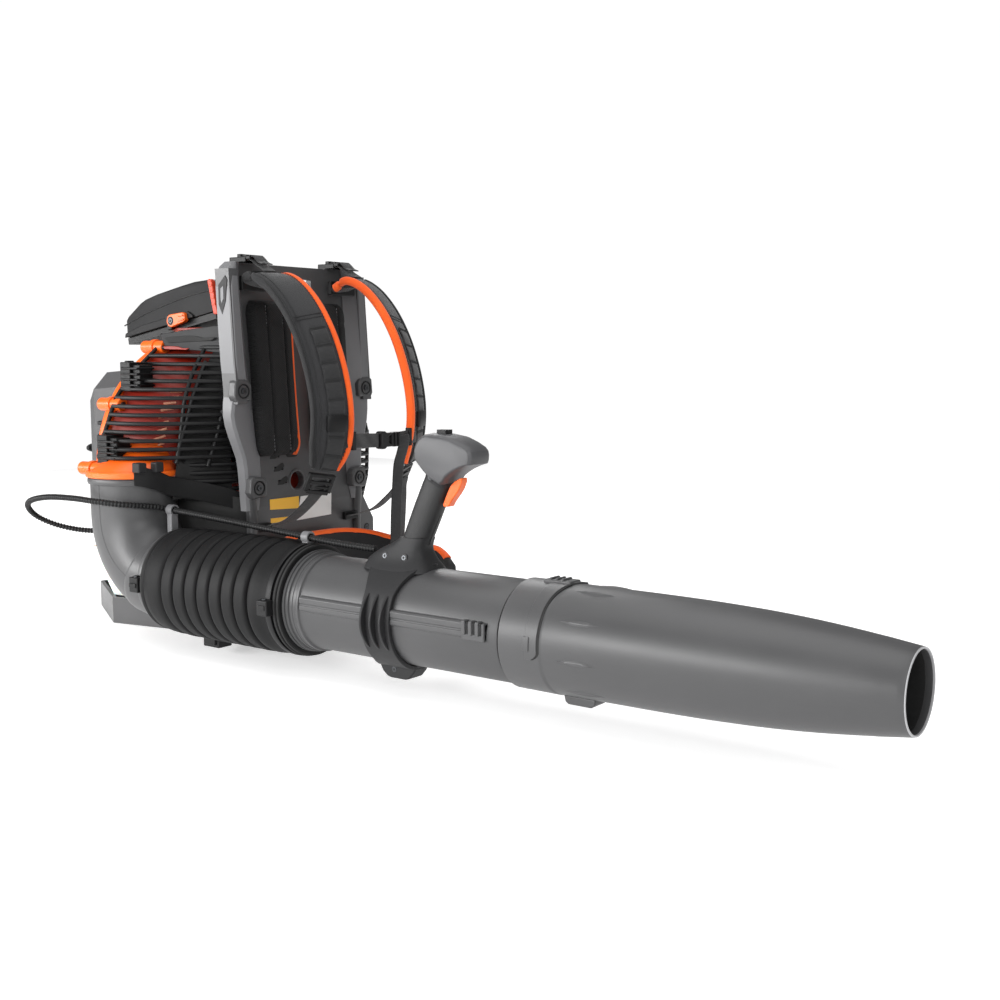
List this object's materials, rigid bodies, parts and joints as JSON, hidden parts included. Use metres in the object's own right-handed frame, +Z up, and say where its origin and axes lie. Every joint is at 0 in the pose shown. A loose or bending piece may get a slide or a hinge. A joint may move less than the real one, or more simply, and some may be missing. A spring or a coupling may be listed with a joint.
{
  "type": "backpack leaf blower",
  "caption": "Backpack leaf blower with a padded harness, an engine-driven fan, a flexible hose and a blow tube with a throttle handle and a tapered nozzle",
  "frame": {"origin": "on the floor under the middle of the base stand", "axes": "+X forward along the blow tube, +Y to the wearer's left, +Z up"},
  "size_m": [1.4456, 0.5079, 0.553],
  "materials": {
    "grey_plastic": "moulded, fine texture",
    "light_grey_plastic": "moulded, fine texture",
    "black_plastic": "moulded, satin",
    "hose_rubber": "moulded, matt",
    "mount_rubber": "moulded, matt",
    "fabric_black": "spacer mesh and woven cloth",
    "webbing": "woven webbing",
    "orange_plastic": "moulded, satin",
    "tank_plastic": "translucent, blow moulded",
    "cast_alloy": "die cast",
    "steel": "machined",
    "filter_paper": "pleated paper"
  },
  "bodies": {
    "root": {"base_stand": "grey_plastic", "backrest_frame": "grey_plastic", "engine_cover": "grey_plastic", "starter_housing": "grey_plastic", "air_filter_cover": "grey_plastic", "elbow_duct": "grey_plastic", "strap_adjuster_right": "black_plastic", "strap_adjuster_left": "black_plastic", "ladder_lock_right": "black_plastic", "ladder_lock_left": "black_plastic", "chest_buckle_socket": "black_plastic", "chest_buckle_plug": "black_plastic", "intake_grille_right": "black_plastic", "intake_grille_left": "black_plastic", "spark_plug": "black_plastic", "air_filter_base": "black_plastic", "elbow_clamp": "black_plastic", "throttle_cable_loop": "black_plastic", "bellows_rear": "hose_rubber", "rubber_mount_upper_right": "mount_rubber", "rubber_mount_lower_right": "mount_rubber", "rubber_mount_upper_left": "mount_rubber", "rubber_mount_lower_left": "mount_rubber", "back_pad_right": "fabric_black", "back_pad_left": "fabric_black", "hip_belt_pad": "fabric_black", "shoulder_strap_right": "fabric_black", "shoulder_strap_left": "fabric_black", "lower_webbing_right": "webbing", "lower_webbing_left": "webbing", "chest_strap_right": "webbing", "chest_strap_left": "webbing", "fan_housing_front": "orange_plastic", "fan_housing_rear": "orange_plastic", "fuel_tank": "tank_plastic", "crankcase": "cast_alloy", "cylinder": "cast_alloy", "carburettor": "cast_alloy", "muffler": "steel", "air_filter_element": "filter_paper"},
    "hose_link": {"bellows_front": "hose_rubber", "throttle_cable_front": "black_plastic"},
    "blow_tube": {"control_tube": "grey_plastic", "hose_clamp": "black_plastic", "throttle_cable_tube": "black_plastic"},
    "handle": {"handle_collar": "light_grey_plastic", "handle_grip": "black_plastic", "handle_head": "light_grey_plastic"},
    "trigger": {"throttle_trigger": "orange_plastic"},
    "cruise": {"cruise_lever": "black_plastic"},
    "stop_button": {"stop_switch": "black_plastic"},
    "nozzle_body": {"nozzle": "grey_plastic"},
    "fan": {"impeller": "black_plastic", "crankshaft": "steel"},
    "tank_cap": {"fuel_cap": "black_plastic"},
    "pull_grip": {"starter_handle": "black_plastic"},
    "latch_right": {"filter_latch_right": "orange_plastic"},
    "latch_left": {"filter_latch_left": "orange_plastic"},
    "choke": {"choke_lever": "orange_plastic"},
    "primer": {"primer_bulb": "tank_plastic"}
  },
  "joints": [
    {"name": "hose_swing_sideways", "type": "hinge", "parent": "root", "child": "hose_link", "pos_m": [0.155, -0.205, 0.095], "axis": [0, 0, 1], "range_deg": [-30, 4], "deforming": ["bellows_rear", "throttle_cable_loop"]},
    {"name": "tube_swing_up_down", "type": "hinge", "parent": "hose_link", "child": "blow_tube", "pos_m": [0.26, -0.205, 0.095], "axis": [0, 1, 0], "range_deg": [-40, 3], "deforming": ["bellows_front", "throttle_cable_front"]},
    {"name": "handle_slide", "type": "slide", "parent": "blow_tube", "child": "handle", "axis": [1, 0, 0], "range_m": [-0.03, 0.09], "deforming": ["throttle_cable_tube"]},
    {"name": "trigger_pull", "type": "hinge", "parent": "handle", "child": "trigger", "pos_m": [0.603, -0.205, 0.266], "axis": [0, 1, 0], "range_deg": [0, 17], "stiffness_Nm_per_rad": 0.06, "springref_deg": -17.19},
    {"name": "cruise_lever_turn", "type": "hinge", "parent": "handle", "child": "cruise", "pos_m": [0.592, -0.181, 0.293], "axis": [0, 1, 0], "range_deg": [0, 60]},
    {"name": "stop_button_press", "type": "slide", "parent": "handle", "child": "stop_button", "axis": [0, 0, -1], "range_m": [0, 0.002], "stiffness_N_per_m": 200, "springref_m": -0.001},
    {"name": "nozzle_twist", "type": "hinge", "parent": "blow_tube", "child": "nozzle_body", "pos_m": [0.72, -0.205, 0.095], "axis": [1, 0, 0], "range_deg": [0, 30]},
    {"name": "fan_spin", "type": "hinge", "parent": "root", "child": "fan", "pos_m": [-0.1, -0.02, 0.29], "axis": [1, 0, 0], "continuous": true},
    {"name": "fuel_cap_turn", "type": "hinge", "parent": "root", "child": "tank_cap", "pos_m": [-0.105, 0.13, 0.08], "axis": [0, 1, 0], "range_deg": [0, 360]},
    {"name": "starter_pull", "type": "slide", "parent": "root", "child": "pull_grip", "axis": [-1, 0, 0], "range_m": [0, 0.5], "stiffness_N_per_m": 6, "springref_m": -0.1},
    {"name": "filter_latch_right_turn", "type": "hinge", "parent": "root", "child": "latch_right", "pos_m": [-0.0408, -0.09, 0.4606], "axis": [0, 1, 0], "range_deg": [0, 60]},
    {"name": "filter_latch_left_turn", "type": "hinge", "parent": "root", "child": "latch_left", "pos_m": [-0.0408, 0.09, 0.4606], "axis": [0, 1, 0], "range_deg": [0, 60]},
    {"name": "choke_lever_turn", "type": "hinge", "parent": "root", "child": "choke", "pos_m": [0.063, -0.093, 0.471], "axis": [0, 1, 0], "range_deg": [0, 22]},
    {"name": "primer_press", "type": "slide", "parent": "root", "child": "primer", "axis": [0, 1, 0], "range_m": [0, 0.0025], "stiffness_N_per_m": 300, "springref_m": -0.001}
  ]
}
